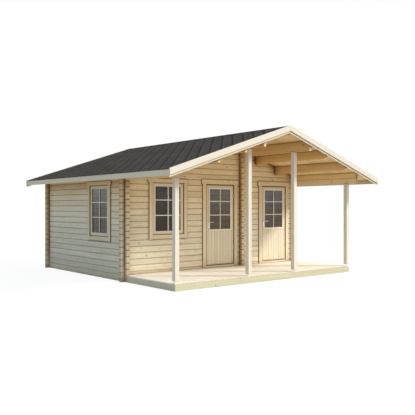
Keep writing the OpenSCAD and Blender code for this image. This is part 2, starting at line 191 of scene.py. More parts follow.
def mark_grain(piece, parts_of=None):
    """Stores, at each face corner, its place along, across and through its board, the board's lot
    number, and 1 where the face is end grain.
    parts_of(group) may split a glued piece into (faces, direction along the grain) pairs."""
    mesh = bmesh.new()
    mesh.from_mesh(piece.data)
    grain = mesh.loops.layers.float_vector.new("grain")
    lot = mesh.loops.layers.float.new("lot")
    end = mesh.loops.layers.float.new("end")
    draw = random.Random(piece.name)
    for group in list(boards_in(mesh)):
        for faces, along in parts_of(group) if parts_of else [(group, None)]:
            edges = dict.fromkeys(edge for face in faces for edge in face.edges)
            spans = sorted((e.verts[1].co - e.verts[0].co for e in edges), key=lambda s: -s.length)
            along = (along or spans[0]).normalized()
            across = next((s for s in spans if abs(s.normalized().dot(along)) < NEARLY_SQUARE),
                Vector((0, 0, 1)))
            across = (across - across.dot(along) * along).normalized()
            through = along.cross(across)
            corners = [loop for face in faces for loop in face.loops]
            middle = sum((loop.vert.co for loop in corners), Vector()) / len(corners)
            number = draw.random()
            for loop in corners:
                place = loop.vert.co - middle
                loop[grain] = (place.dot(along), place.dot(across), place.dot(through))
                loop[lot] = number
                loop[end] = 1 if abs(loop.face.normal.dot(along)) > NEARLY_ALONG else 0
    mesh.to_mesh(piece.data)
    mesh.free()


def feed(tree, made, values):
    """Joins other nodes' outputs to a node's inputs, and sets the inputs that are given as values."""
    for key, value in dict(values).items():
        if isinstance(value, bpy.types.NodeSocket):
            tree.links.new(value, made.inputs[key])
        else:
            made.inputs[key].default_value = value


def put(tree, kind, values=(), **settings):
    """A shader node with its settings; its inputs take values or other nodes' outputs."""
    made = tree.nodes.new("ShaderNode" + kind)
    for name, value in settings.items():
        setattr(made, name, value)
    feed(tree, made, values)
    return made


def calc(tree, operation, *values):
    """The result of one Math node."""
    return put(tree, "Math", enumerate(values), operation=operation).outputs[0]


def product(tree, first, *others):
    """Values multiplied together."""
    for other in others:
        first = calc(tree, "MULTIPLY", first, other)
    return first


def around(tree, middle, share, spread):
    """Values spread around a middle one by a share between 0 and 1."""
    return calc(tree, "MULTIPLY_ADD", calc(tree, "SUBTRACT", share, 0.5), spread, middle)


def xyz(tree, place):
    """The three coordinates of a place."""
    return list(put(tree, "SeparateXYZ", {0: place}).outputs)


def vector(tree, *coordinates):
    """A place from its three coordinates."""
    return put(tree, "CombineXYZ", enumerate(coordinates)).outputs[0]


def stretched(tree, place, *times):
    """A place with each coordinate multiplied by its own number."""
    return put(tree, "VectorMath", {0: place, 1: times}, operation="MULTIPLY").outputs[0]


def object_place(tree):
    """The place on the object, in metres."""
    return put(tree, "TexCoord").outputs["Object"]


def stored(tree, label, kind="Fac"):
    """What mark_grain has stored on the piece."""
    return put(tree, "Attribute", attribute_name=label).outputs[kind]


def noise(tree, place, scale=1.0, detail=2.0, roughness=0.5):
    """Smooth noise between 0 and 1."""
    return put(tree, "TexNoise", {"Vector": place, "Scale": scale, "Detail": detail,
        "Roughness": roughness}).outputs[0]


def relief(tree, height, strength, depth):
    """The normals that a fine relief gives a surface."""
    return put(tree, "Bump", {"Height": height, "Strength": strength, "Distance": depth}).outputs[0]


def soft_step(tree, value, low, high):
    """0 below low and 1 above high, smooth in between."""
    return put(tree, "MapRange", {"Value": value, "From Min": low, "From Max": high},
        interpolation_type="SMOOTHSTEP").outputs[0]


def blend(tree, share, first, second, how="MIX"):
    """One colour laid over another by a share."""
    return put(tree, "Mix", {0: share, 6: first, 7: second}, data_type="RGBA", blend_type=how).outputs[2]


def new_group(name, inputs, outputs):
    """An empty node group with named sockets, what it is given, and its last node."""
    group = bpy.data.node_groups.new(name, "ShaderNodeTree")
    for way, sockets in (("INPUT", inputs), ("OUTPUT", outputs)):
        for label, kind in sockets.items():
            group.interface.new_socket(name=label, in_out=way, socket_type="NodeSocket" + kind)
    return group, group.nodes.new("NodeGroupInput").outputs, group.nodes.new("NodeGroupOutput")


def make_pine():
    """Pine as a solid: growth rings around a pith, fibres, knots and tones that change from board
    to board."""
    group, given, result = new_group("pine",
        {"Grain": "Vector", "Lot": "Float", "Light": "Color", "Dark": "Color", "Knot share": "Float",
            "Tone spread": "Float"},
        {"Color": "Color", "Height": "Float", "Roughness": "Float"})
    along, across, through = xyz(group, given["Grain"])
    lot = given["Lot"]
    shifted = calc(group, "MULTIPLY_ADD", lot, LOT_SHIFT, along)
    place = vector(group, shifted, across, through)
    random_at = put(group, "TexWhiteNoise", {"W": lot}, noise_dimensions="1D").outputs["Color"]
    dice = put(group, "SeparateColor", {0: random_at}).outputs

    # Knots are cylinders through the board, a few to the metre.
    in_cells = put(group, "VectorMath", {0: place, 1: [KNOT_CELL] * 3}, operation="DIVIDE").outputs[0]
    cells = put(group, "TexVoronoi", {"Vector": in_cells, "Scale": 1.0, "Randomness": 1.0},
        voronoi_dimensions="2D").outputs
    cell_dice = put(group, "SeparateColor", {0: cells["Color"]}).outputs
    knot_r = calc(group, "MULTIPLY_ADD", cell_dice[1], KNOT_R_MORE, KNOT_R)
    knot_near = calc(group, "DIVIDE", product(group, cells["Distance"], KNOT_CELL), knot_r)
    kept = calc(group, "LESS_THAN", cell_dice[0], given["Knot share"])
    knot = product(group, kept, soft_step(group, knot_near, *KNOT_EDGE))
    halo = product(group, kept, soft_step(group, knot_near, *KNOT_HALO))

    # Rings: distance from a pith line that lies outside most boards and wanders along them.
    wander = noise(group, stretched(group, place, *RING_STRETCH), roughness=0.4)
    off_across = around(group, across, dice[0], PITH_ASIDE)
    off_through = calc(group, "ADD", calc(group, "MULTIPLY_ADD", dice[1], PITH_DEEP_MORE, PITH_DEEP), through)
    radius = put(group, "VectorMath", {0: vector(group, off_across, off_through, 0.0)},
        operation="LENGTH").outputs["Value"]
    radius = calc(group, "MULTIPLY_ADD", wander, RING_WANDER, radius)
    radius = calc(group, "MULTIPLY_ADD", halo, RING_BULGE, radius)
    late = calc(group, "POWER", calc(group, "FRACT", calc(group, "DIVIDE", radius, RING_W)),
        LATE_SHARPNESS)

    # Fibres are fine and streaks are broad, and both run along the board.
    fibre = noise(group, stretched(group, place, *FIBRE_STRETCH), detail=3.0, roughness=0.6)
    streak = noise(group, stretched(group, place, *STREAK_STRETCH), detail=3.0, roughness=0.55)

    darkness = product(group, late, LATE_SHARE)
    darkness = calc(group, "MULTIPLY_ADD", soft_step(group, streak, *STREAK_EDGE), STREAK_SHARE, darkness)
    darkness = around(group, darkness, fibre, FIBRE_SHARE)
    darkness = calc(group, "MULTIPLY_ADD", halo, HALO_SHARE, darkness)
    darkness = put(group, "Clamp", {0: darkness}).outputs[0]
    wood = blend(group, darkness, given["Light"], given["Dark"])
    tone = around(group, 1.0, dice[2], given["Tone spread"])
    warmth = around(group, 1.0, dice[0], WARMTH_SPREAD)
    wood = put(group, "HueSaturation", {"Color": wood, "Value": tone, "Saturation": warmth}).outputs[0]
    knot_colour = blend(group, soft_step(group, knot_near, *KNOT_RIM_FROM), KNOT_BROWN, KNOT_RIM)
    height = calc(group, "MULTIPLY_ADD", late, LATE_RISE, product(group, fibre, FIBRE_RISE))
    feed(group, result, {"Color": blend(group, product(group, knot, KNOT_SHARE), wood, knot_colour),
        "Height": calc(group, "MULTIPLY_ADD", knot, KNOT_RISE, height),
        "Roughness": calc(group, "MULTIPLY_ADD", late, LATE_ROUGHNESS, WOOD_ROUGHNESS)})
    return group


PINE = make_pine()


def make_painted_shade():
    """Painted light and shade on wood: darker in crevices, inner corners and deep gaps, where ambient
    occlusion finds shade, but less so near the ground; a deeper orange tone high up under the roof, which is
    painted warm bounce light; and painted shade close under an eave."""
    group, given, result = new_group("weathering",
        {"Color": "Color", "Crevice": "Float", "Corner": "Float", "Height": "Float", "Spared": "Float",
            "Aging": "Float", "Honey": "Float", "Eave": "Float"},
        {"Color": "Color"})
    # Painted warm bounce light: a deeper orange tone high up under the roof.
    in_warm_bounce = product(group, soft_step(group, given["Height"], *WARM_BOUNCE_HEIGHTS), given["Honey"])
    # Painted shade: a brown tone close under an eave.
    in_eave_shade = product(group, soft_step(group, given["Height"], *EAVE_SHADE_HEIGHTS), given["Eave"])
    # The painted shade in crevices, corners and gaps is lessened near the ground and scaled by the share
    # given for each material.
    above_foot = soft_step(group, given["Height"], *FOOT_HEIGHTS)
    shade_strength = calc(group, "MULTIPLY_ADD", above_foot, 1 - FOOT_SHADE_SHARE, FOOT_SHADE_SHARE)
    shade_strength = product(group, shade_strength, given["Aging"])
    not_spared = calc(group, "SUBTRACT", 1.0, given["Spared"])
    in_crevice = soft_step(group, given["Crevice"], *CREVICE_OPEN)
    in_crevice = product(group, in_crevice, CREVICE_SHARE, not_spared, shade_strength)
    in_corner = product(group, soft_step(group, given["Corner"], *CORNER_OPEN), CORNER_SHARE, shade_strength)
    in_gap = product(group, soft_step(group, given["Corner"], *GAP_OPEN), given["Aging"])
    colour = given["Color"]
    for share, tone in ((in_warm_bounce, WARM_BOUNCE_TONE), (in_eave_shade, EAVE_SHADE_TONE), (in_crevice, CREVICE_SHADE_TONE),
            (in_corner, CORNER_SHADE_TONE), (in_gap, GAP_SHADE_TONE)):
        colour = blend(group, share, colour, tone, "MULTIPLY")
    feed(group, result, {"Color": colour})
    return group


PAINTED_SHADE = make_painted_shade()


def new_material(name):
    """A material with its nodes and its Principled shader."""
    material = bpy.data.materials.new(name)
    material.use_nodes = True
    return material, material.node_tree, material.node_tree.nodes["Principled BSDF"]


def pine(tree, grain, lot, light, dark, knots, spread):
    """The outputs of the pine group with these values."""
    return put(tree, "Group", {"Grain": grain, "Lot": lot, "Light": light, "Dark": dark, "Knot share": knots,
        "Tone spread": spread}, node_tree=PINE).outputs


def with_painted_shade(tree, colour, aging, honey, spared=0.0, eave=0.0):
    """The colour with painted shade and painted warm bounce light laid over it. spared holds the crevices'
    part off where it is 1.
    """
    crevice, corner = (put(tree, "AmbientOcclusion", {"Distance": reach}, samples=4).outputs["AO"]
        for reach in (CREVICE_REACH, CORNER_REACH))
    return put(tree, "Group", {"Color": colour, "Crevice": crevice, "Corner": corner,
        "Height": xyz(tree, object_place(tree))[2], "Spared": spared, "Aging": aging, "Honey": honey,
        "Eave": eave}, node_tree=PAINTED_SHADE).outputs["Color"]


def wooden(tree, shader, wood, colour, depth):
    """Gives the shader a colour, and the roughness and relief of the pine that it was made from."""
    feed(tree, shader, {"Base Color": colour, "Roughness": wood["Roughness"],
        "Specular IOR Level": WOOD_GLOSS, "Normal": relief(tree, wood["Height"], GRAIN_STRENGTH, depth)})


def timber(name, light, dark, knots=0.5, spread=0.16, aging=1.0, honey=0.0, ends=None):
    """Pine material for boards that carry their own grain, lot and end attributes, with painted shade and
    painted warm bounce light by the shares given.
    """
    material, tree, shader = new_material(name)
    wood = pine(tree, stored(tree, "grain", "Vector"), stored(tree, "lot"), light, dark, knots, spread)
    shown = wood["Color"]
    if ends:
        shown = blend(tree, product(tree, stored(tree, "end"), END_SHARE), shown, ends)
    wooden(tree, shader, wood, with_painted_shade(tree, shown, aging, honey), BOARD_RELIEF)
    return material


def finish_piece(piece, material, body="cabin", stands_for=()):
    """Gives a piece its material and slot, its body, and the CAD nodes that it stands for."""
    piece.data.materials.clear()
    piece.data.materials.append(material)
    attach(piece, body)
    if stands_for:
        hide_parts(*stands_for)
    return piece


def dressed(node, name, material, edge=BOARD_EDGE):
    """A CAD node's boards with eased edges and their own grain, in the node's place."""
    piece = eased(copy_of(node, name), edge)
    mark_grain(piece)
    return finish_piece(piece, material, stands_for=[node])


def boards_along_y(piece, name):
    """Takes the boards that run along Y out of a piece, as a piece of their own."""
    with edit_mode(piece, "DESELECT"):
        mesh = bmesh.from_edit_mesh(piece.data)
        for group in list(boards_in(mesh)):
            corners = [vert.co for face in group for vert in face.verts]
            width, depth = (max(c[axis] for c in corners) - min(c[axis] for c in corners) for axis in (0, 1))
            for face in group:
                face.select_set(depth > width)
        bmesh.update_edit_mesh(piece.data)
        bpy.ops.mesh.separate(type="SELECTED")
    apart = next(other for other in bpy.context.selected_objects if other != piece)
    apart.name = name
    return unmarked(apart)


treated_wood = timber("treated_wood", light=(0.745, 0.725, 0.535, 1), dark=(0.60, 0.57, 0.37, 1), spread=0.2,
    aging=0.25)
# The deck's side boards stand in shade; their paler copy of the treated pine is painted light.
faded_wood = timber("faded_wood", light=(0.86, 0.80, 0.65, 1), dark=(0.69, 0.63, 0.45, 1), spread=0.1,
    aging=0.25)
dressed("floor_joists", "floor_joist_timbers", treated_wood)
dressed("deck_joists", "deck_joist_timbers", treated_wood)
deck_front_board = dressed("deck_edge_boards", "deck_front_board", treated_wood, BEAM_EDGE)
finish_piece(boards_along_y(deck_front_board, "deck_side_boards"), faded_wood)

# Log walls. Planed pine logs, 70 by 135 mm, are stacked with a V joint on both faces and half
# lapped where they cross, so that the walls along X lie half a log higher than those along Y.
# The top logs of the side walls run on as beams over the veranda.
LOG_H = 0.135
WALLS_TO_METRE = 1.3
LOG_RELIEF = 0.0008
LOG_LIGHT = (0.92, 0.84, 0.67, 1)
LOG_DARK = (0.72, 0.60, 0.39, 1)
END_GRAIN = (0.94, 0.86, 0.74, 1)
# A greyer end grain, which is painted shade, for the logs along X, whose ends at the left front corner stand
# in shade.
SHADED_END_GRAIN = (0.80, 0.76, 0.69, 1)
JOINT_TONE = (0.32, 0.21, 0.12, 1)
SIDE_JOINT = 0.25
SIDE_JOINT_FROM = (0.42, 0.46)
END_JOINT = 0.85
END_JOINT_FROM = (0.38, 0.44)
END_FACING = (0.6, 0.9)
JOINT_SPARED = 0.6
ALONG_Y = math.radians(90)


def make_log_courses():
    """Splits a wall's coordinates, with X along it, into the place in each log and the log's lot."""
    group, given, result = new_group("log_courses",
        {"Place": "Vector", "First joint": "Float"},
        {"Grain": "Vector", "Lot": "Float", "Joint": "Float", "End joint": "Float"})
    along, through, up = xyz(group, given["Place"])
    course = calc(group, "SUBTRACT", calc(group, "DIVIDE", up, LOG_H), given["First joint"])
    in_log = calc(group, "SUBTRACT", calc(group, "FRACT", course), 0.5)
    wall = calc(group, "FLOOR", product(group, through, WALLS_TO_METRE))
    both = vector(group, calc(group, "FLOOR", course), wall, 0.0)
    from_middle = calc(group, "ABSOLUTE", in_log)
    feed(group, result, {
        "Grain": vector(group, along, product(group, in_log, LOG_H), calc(group, "SUBTRACT", through, wall)),
        "Lot": put(group, "TexWhiteNoise", {"Vector": both}, noise_dimensions="2D").outputs["Value"],
        "Joint": soft_step(group, from_middle, *SIDE_JOINT_FROM),
        "End joint": soft_step(group, from_middle, *END_JOINT_FROM)})
    return group


LOG_COURSES = make_log_courses()


def log_material(name, turn, first_joint, honey, light=LOG_LIGHT, dark=LOG_DARK, ends=END_GRAIN, aging=1.0,
        eave=0.0):
    """Pine for a whole wall of logs: turn brings the logs' direction onto X. The wall gets painted shade,
    painted warm bounce light high up and, by eave, painted shade under the eave.
    """
    material, tree, shader = new_material(name)
    spot = put(tree, "TexCoord").outputs
    placed = put(tree, "Mapping", {"Vector": spot["Object"], "Rotation": (0, 0, turn)}).outputs[0]
    facing = put(tree, "Mapping", {"Vector": spot["Normal"], "Rotation": (0, 0, turn)},
        vector_type="VECTOR").outputs[0]
    courses = put(tree, "Group", {"Place": placed, "First joint": first_joint}, node_tree=LOG_COURSES).outputs
    wood = pine(tree, courses["Grain"], courses["Lot"], light, dark, knots=0.3, spread=0.14)
    end = soft_step(tree, calc(tree, "ABSOLUTE", xyz(tree, facing)[0]), *END_FACING)
    shown = blend(tree, end, wood["Color"], ends, "MULTIPLY")
    joint = calc(tree, "MAXIMUM", product(tree, courses["Joint"], SIDE_JOINT),
        product(tree, courses["End joint"], end, END_JOINT))
    shown = blend(tree, joint, shown, JOINT_TONE, "MULTIPLY")
    shown = with_painted_shade(tree, shown, aging, honey, product(tree, courses["Joint"], JOINT_SPARED), eave)
    wooden(tree, shader, wood, shown, LOG_RELIEF)
    return material


def surfaced(material, *names):
    """Gives its material to each CAD node that is shown as it is."""
    for name in names:
        nodes[name].material_slots[0].material = material


# The logs along X get the greyer end grain, which is painted shade.
surfaced(log_material("logs_along_x", 0, first_joint=0.5, honey=1.0, ends=SHADED_END_GRAIN), "back_wall",
    "front_wall_base", "front_wall_left", "front_wall_middle", "front_wall_right", "front_gable")
# The left wall, which stands in shade, gets a greyer copy of the log pine, which is painted shade, and
# painted shade under its eave.
surfaced(log_material("logs_along_y", ALONG_Y, first_joint=0, honey=0.7, light=(0.87, 0.82, 0.69, 1),
    dark=(0.67, 0.59, 0.42, 1), eave=1.0), "left_wall")
# The right and partition walls, whose log ends show under the veranda roof, get more of the painted warm
# bounce light.
surfaced(log_material("sheltered_logs", ALONG_Y, first_joint=0, honey=1.3), "right_wall", "partition_wall")
# The side beams, under the veranda roof, get a more orange copy of the log pine, which is painted warm bounce
# light.
surfaced(log_material("top_logs", ALONG_Y, first_joint=0, honey=0.0, light=(1.0, 0.80, 0.44, 1),
    dark=(0.82, 0.59, 0.27, 1), aging=0.6), "side_beams")

# Room floors. Tongued and grooved pine boards, planed and left bare, run from the front wall to
# the back wall across the joists and show fine V joints.
FLOOR_PITCH = 0.095
TONGUED_GAP = 0.0002
FLOOR_EDGE = 0.0018
BY_WALL = 0.005


def block(low, high):
    """A box added between two corners, its place in its mesh."""
    low, high = Vector(low), Vector(high)
    bpy.ops.object.select_all(action="DESELECT")
    bpy.ops.mesh.primitive_cube_add(size=1, location=(low + high) / 2)
    piece = bpy.context.object
    piece.scale = high - low
    bpy.ops.object.transform_apply(location=True, rotation=True, scale=True)
    return piece


def repeated(piece, count, step):
    """Copies of the piece in a row, joined to it."""
    apply_modifier(piece, "ARRAY", count=count, use_relative_offset=False, use_constant_offset=True,
        constant_offset_displace=step, use_merge_vertices=False)
    return piece


def joined(name, pieces):
    """Several pieces made into one."""
    pick(*pieces)
    if len(pieces) > 1:
        bpy.ops.object.join()
    piece = bpy.context.object
    piece.name = name
    return piece


def assembled(name, pieces, material, body="cabin", stands_for=()):
    """Boards made into one finished piece, each with its own grain."""
    piece = joined(name, pieces)
    mark_grain(piece)
    return finish_piece(piece, material, body, stands_for)


def equal_steps(width, pitch):
    """How many equal steps, close to the pitch, fill a width, and how long they are."""
    count = round(width / pitch)
    return count, width / count


def board_floor(low, high, pitch, gap, edge):
    """Boards along Y that fill the box between two corners, a whole number of equal boards wide."""
    count, step = equal_steps(high.x - low.x, pitch)
    board = eased(block(low, (low.x + step - gap, high.y, high.z)), edge)
    return repeated(board, count, (step, 0, 0))


floor_wood = timber("floor_wood", light=(0.82, 0.67, 0.45, 1), dark=(0.66, 0.48, 0.27, 1))
floor_low, floor_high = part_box("room_floors")
partition_low, partition_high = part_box("partition_wall")
left_high = Vector((partition_low.x - BY_WALL, floor_high.y, floor_high.z))
right_low = Vector((partition_high.x + BY_WALL, floor_low.y, floor_low.z))
room_floors = [board_floor(low, high, FLOOR_PITCH, TONGUED_GAP, FLOOR_EDGE)
    for low, high in ((floor_low, left_high), (right_low, floor_high))]
assembled("room_floor_boards", room_floors, floor_wood, stands_for=["room_floors"])

# Deck boards. Planed pine boards, 28 mm thick, run from the front wall to the deck's front edge
# with a few millimetres between them, and are screwed to every joist. They are cut short at the
# log ends.
DECK_PITCH = 0.093
DECK_GAP = 0.006
DECK_EDGE = 0.0035
CUT_PAST = 0.1
JOIST_W = 0.048
JOIST_ROWS = 4
SCREW_R = 0.0045
SCREW_RISE = 0.0006
SCREW_IN = 0.022
SCREW_SIDES = 12
SOCKET_IN = 0.25
SOCKET_SLOPE = 0.3
BRUSHING = (900, 900, 40)
BRUSHED_LIGHT = 1.12
BRUSHED_ROUGHNESS = 0.16
BRUSHED_STRENGTH = 0.1
BRUSHED_RELIEF = 0.0002


def cut(piece, tools):
    """Takes the tools' shapes out of the piece."""
    for tool in tools:
        apply_modifier(piece, "BOOLEAN", operation="DIFFERENCE", solver="EXACT", object=tool)
        bpy.data.objects.remove(tool)
    return piece


def metal(name, colour, roughness):
    """Satin metal with fine brushing."""
    material, tree, shader = new_material(name)
    place = put(tree, "Mapping", {"Vector": object_place(tree), "Scale": BRUSHING}).outputs[0]
    brushed = noise(tree, place)
    light = tuple(min(1, c * BRUSHED_LIGHT) for c in colour[:3]) + (1,)
    smoothest = roughness - BRUSHED_ROUGHNESS / 2
    feed(tree, shader, {"Metallic": 1, "Base Color": blend(tree, brushed, colour, light),
        "Roughness": calc(tree, "MULTIPLY_ADD", brushed, BRUSHED_ROUGHNESS, smoothest),
        "Normal": relief(tree, brushed, BRUSHED_STRENGTH, BRUSHED_RELIEF)})
    return material


def rod(middle, radius, length, sides, turn=(0, 0, 0)):
    """A round or many-sided bar around its middle, upright unless it is turned."""
    bpy.ops.object.select_all(action="DESELECT")
    bpy.ops.mesh.primitive_cylinder_add(vertices=sides, radius=radius, depth=length, location=middle,
        rotation=turn)
    bpy.ops.object.transform_apply(location=True, rotation=True, scale=True)
    return bpy.context.object


def screw_head(middle, radius, rise):
    """Low round head with a socket, facing up."""
    head = rod(middle, radius, rise * 2, SCREW_SIDES)
    with edit_mode(head, "DESELECT"):
        for face in bmesh.from_edit_mesh(head.data).faces:
            face.select_set(face.normal.z > NEARLY_ALONG)
        bmesh.update_edit_mesh(head.data)
        bpy.ops.mesh.inset(thickness=radius * SOCKET_IN, depth=0)
        bpy.ops.mesh.inset(thickness=radius * SOCKET_SLOPE, depth=-rise)
    return head


deck_wood = timber("deck_wood", light=(0.97, 0.94, 0.86, 1), dark=(0.88, 0.82, 0.70, 1), knots=0.25,
    spread=0.12, aging=0.5, ends=(0.66, 0.58, 0.46, 1))
screw_steel = metal("screw_steel", (0.62, 0.63, 0.65, 1), 0.35)
deck_low, deck_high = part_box("deck_boards")
deck = board_floor(deck_low, deck_high, DECK_PITCH, DECK_GAP, DECK_EDGE)
for wall in ("left_wall", "partition_wall", "right_wall"):
    low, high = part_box(wall)
    cut(deck, [block((low.x - BY_WALL, low.y - BY_WALL, deck_low.z - CUT_PAST),
        (high.x + BY_WALL, deck_high.y + CUT_PAST, deck_high.z + CUT_PAST))])
assembled("deck_board_planks", [deck], deck_wood, stands_for=["deck_boards"])

deck_count, deck_step = equal_steps(deck_high.x - deck_low.x, DECK_PITCH)
joist_low, joist_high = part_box("deck_joists")
screws = screw_head((deck_low.x + SCREW_IN, joist_low.y + JOIST_W / 2, deck_high.z), SCREW_R, SCREW_RISE)
repeated(screws, 2, (deck_step - DECK_GAP - 2 * SCREW_IN, 0, 0))
repeated(screws, deck_count, (deck_step, 0, 0))
repeated(screws, JOIST_ROWS, (0, (joist_high.y - joist_low.y - JOIST_W) / (JOIST_ROWS - 1), 0))
screws.name = "deck_screws"
finish_piece(screws, screw_steel)

# Veranda posts. Four square posts of pale planed pine stand on the deck on adjustable steel feet:
# two under the side beams and two, taller, under the inner purlins.
POST_W = 0.095
POST_EDGE = 0.004
GABLE_POST_X = 0.700
FOOT_H = 0.045
FOOT_PLATE = 0.080
FOOT_PLATE_T = 0.005
FOOT_PLATE_EDGE = 0.0008
FOOT_SCREW_R = 0.010
FOOT_SCREW_SIDES = 24
FOOT_NUT_R = 1.6 * FOOT_SCREW_R
FOOT_NUT_SIDES = 6
FOOT_NUT_RISES = (0.008, 0.020)
post_wood = timber("post_wood", light=(0.82, 0.77, 0.68, 1), dark=(0.75, 0.68, 0.57, 1), knots=0.0,
    spread=0.05, aging=0.3)
post_low, post_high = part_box("veranda_posts")
beam_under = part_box("side_beams")[0].z
post_middles = [(post_low.x + POST_W / 2, beam_under), (-GABLE_POST_X, post_high.z),
    (GABLE_POST_X, post_high.z), (post_high.x - POST_W / 2, beam_under)]
post_y = post_low.y + POST_W / 2
foot_top = post_low.z + FOOT_H
posts, feet = [], []
for x, top in post_middles:
    half = POST_W / 2
    post = block((x - half, post_low.y, foot_top), (x + half, post_low.y + POST_W, top))
    posts.append(eased(post, POST_EDGE))
    half = FOOT_PLATE / 2
    for z in (post_low.z, foot_top - FOOT_PLATE_T):
        plate = block((x - half, post_y - half, z), (x + half, post_y + half, z + FOOT_PLATE_T))
        feet.append(eased(plate, FOOT_PLATE_EDGE))
    screw_z0, screw_z1 = post_low.z + FOOT_PLATE_T, foot_top - FOOT_PLATE_T
    nut_z0, nut_z1 = (screw_z0 + rise for rise in FOOT_NUT_RISES)
    for radius, z0, z1, sides in ((FOOT_SCREW_R, screw_z0, screw_z1, FOOT_SCREW_SIDES),
            (FOOT_NUT_R, nut_z0, nut_z1, FOOT_NUT_SIDES)):
        feet.append(rod((x, post_y, (z0 + z1) / 2), radius, z1 - z0, sides))
assembled("veranda_post_timbers", posts, post_wood, stands_for=["veranda_posts"])
zinc_steel = metal("zinc_steel", (0.90, 0.88, 0.82, 1), 0.5)
finish_piece(joined("veranda_post_feet", feet), zinc_steel)

# Ridge beam and purlins. Planed pine beams rest in notches of the gable walls and run on to both
# ends of the roof.
for node, name, wood, light, dark in (
        ("ridge_beam", "ridge_beam_timber", "beam_wood", (0.93, 0.66, 0.33, 1), (0.72, 0.45, 0.18, 1)),
        ("purlins", "purlin_timbers", "purlin_wood", (0.88, 0.62, 0.30, 1), (0.68, 0.43, 0.175, 1))):
    # Their end grain is darker, partly its own tone and partly painted shade for the barge boards' shadow on
    # the beam ends.
    material = timber(wood, light, dark, knots=0.3, ends=(0.82, 0.64, 0.40, 1))
    dressed(node, name, material, BEAM_EDGE)

# Roof boards. Tongued and grooved pine boards lie down the slope on the purlins and show their
# V joints from below.
ROOF_ANGLE = math.radians(18.25)
ROOF_BOARD_PITCH = 0.095
ROOF_BOARD_T = 0.02
ROOF_BOARD_EDGE = 0.0025
TRIMMED_OFF = 0.02
ON_PLANE = 0.00001
SEAT_GAP = 0.0003
RIDGE_GAP = 0.0005
roof_low, roof_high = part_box("roof_boards")
boards_top = roof_high.z
slope_length = roof_high.x / math.cos(ROOF_ANGLE)


def sliced(piece, at, normal, **settings):
    """Divides the piece's faces along a plane."""
    with edit_mode(piece):
        bpy.ops.mesh.bisect(plane_co=at, plane_no=normal, threshold=ON_PLANE, **settings)
    return piece


def trimmed(piece, at, normal):
    """Cuts off what lies beyond a plane, and closes the cut."""
    return sliced(piece, at, normal, use_fill=True, clear_outer=True)


def laid_on_slope(piece, reach):
    """Turns a flat layer, built with X down the right slope from the ridge, into its slope, copies
    it over to the left one, and trims both at the ridge and at their reach from it."""
    pick(piece)
    piece.location = (0, 0, boards_top)
    piece.rotation_euler = (0, ROOF_ANGLE, 0)
    bpy.ops.object.transform_apply(location=True, rotation=True, scale=True)
    bpy.ops.object.duplicate()
    other = bpy.context.object
    other.rotation_euler = (0, 0, math.pi)
    bpy.ops.object.transform_apply(location=True, rotation=True, scale=True)
    for layer, side in ((piece, 1), (other, -1)):
        trimmed(layer, (side * RIDGE_GAP, 0, 0), (-side, 0, 0))
        trimmed(layer, (side * reach, 0, 0), (side, 0, 0))
    return [piece, other]


board_count, board_step = equal_steps(roof_high.y - roof_low.y, ROOF_BOARD_PITCH)
roof_board = block((-TRIMMED_OFF, roof_low.y, SEAT_GAP - ROOF_BOARD_T),
    (slope_length + TRIMMED_OFF, roof_low.y + board_step - TONGUED_GAP, 0))
eased(roof_board, ROOF_BOARD_EDGE, 1)
repeated(roof_board, board_count, (0, board_step, 0))
roof_wood = timber("roof_wood", light=(1.0, 0.76, 0.43, 1), dark=(0.82, 0.56, 0.25, 1), knots=0.3, aging=0.7)
assembled("roof_board_planks", laid_on_slope(roof_board, roof_high.x), roof_wood,
    stands_for=["roof_boards"])

# Roofing. Bitumen shingles are nailed on from the eaves up, in courses of pointed tabs. Each
# course lies half a tab aside from the one below, so that the slanted edges line up into long
# diagonals, and dark granules shade the slots between the tabs.
TAB_PITCH = 1 / 3
TAB_FLAT = 0.03
TAB_H = 0.317
TAB_T = 0.0025
TAB_GAP = 0.0004
TAB_START = -0.08
EXPOSURE = 0.157
TAB_TILT = TAB_T / EXPOSURE
STARTER_H = 0.2
STARTER_ABOVE = 0.0001
STARTER_BELOW = 0.0004
ROOFING_T = 0.008
FELT_T = 0.0012
FELT_LIGHT = (0.080, 0.071, 0.067, 1)
FELT_DARK = (0.039, 0.035, 0.033, 1)
SLOT_TONE = (0.10, 0.10, 0.10, 1)
SLOT_FADE = (0.30, 0.08)
GRANULE_SCALE = 420.0
GRANULE_SHARE = 0.7
GRANULE_STRENGTH = 0.5
GRANULE_RELIEF = 0.0008
PATCH_SCALE = 5.0
PATCH_SHARE = 0.4
SHINGLE_SPREAD = 0.5

felt_low, felt_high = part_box("roofing")
eave = felt_high.x / math.cos(ROOF_ANGLE)
tab = block((eave - TAB_H, -TAB_PITCH / 2 + TAB_GAP, ROOFING_T - TAB_T),
    (eave, TAB_PITCH / 2 - TAB_GAP, ROOFING_T))
for vertex in tab.data.vertices:
    vertex.co.z -= (eave - vertex.co.x) * TAB_TILT
for side in (-1, 1):
    outwards = Vector(((TAB_PITCH - TAB_FLAT) / 2, side * EXPOSURE, 0)).normalized()
    trimmed(tab, (eave, side * TAB_FLAT / 2, 0), outwards)
tabs_in_row = math.ceil((felt_high.y - felt_low.y) / TAB_PITCH) + 2
first_tab = TAB_START - math.floor(tabs_in_row / 2) * TAB_PITCH
for vertex in tab.data.vertices:
    vertex.co.y += first_tab
repeated(tab, tabs_in_row, (0, TAB_PITCH, 0))
repeated(tab, 2, (-EXPOSURE, TAB_PITCH / 2, 0))
repeated(tab, math.ceil(eave / EXPOSURE / 2), (-2 * EXPOSURE, 0, 0))
starter = block((eave - STARTER_H, felt_low.y, ROOFING_T - 2 * TAB_T - STARTER_BELOW),
    (eave, felt_high.y, ROOFING_T - TAB_T - STARTER_ABOVE))
underlay = block((0, felt_low.y, SEAT_GAP), (eave, felt_high.y, SEAT_GAP + FELT_T))
layers = [layer for flat in (tab, starter, underlay) for layer in laid_on_slope(flat, felt_high.x)]
